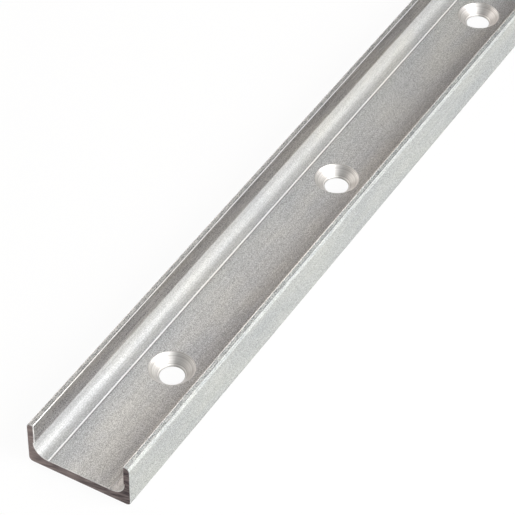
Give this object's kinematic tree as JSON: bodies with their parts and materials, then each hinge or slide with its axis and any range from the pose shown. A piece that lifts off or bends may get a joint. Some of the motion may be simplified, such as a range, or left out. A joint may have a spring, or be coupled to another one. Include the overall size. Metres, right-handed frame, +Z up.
{
  "type": "profile linear guide rail",
  "caption": "C-section steel guide rail with a hollow raceway along each flange and countersunk screw holes through its web.",
  "frame": {"origin": "middle of the footprint, on the back of the web", "axes": "+X along the rail, +Y across it, +Z up out of the open channel"},
  "size_m": [0.48, 0.028, 0.0122],
  "materials": {
    "drawn_steel": "bright zinc-plated drawn steel with a satin grain along its length, ground raceways and bare sawn ends"
  },
  "bodies": {
    "root": {"guide_rail": "drawn_steel"}
  },
  "joints": []
}
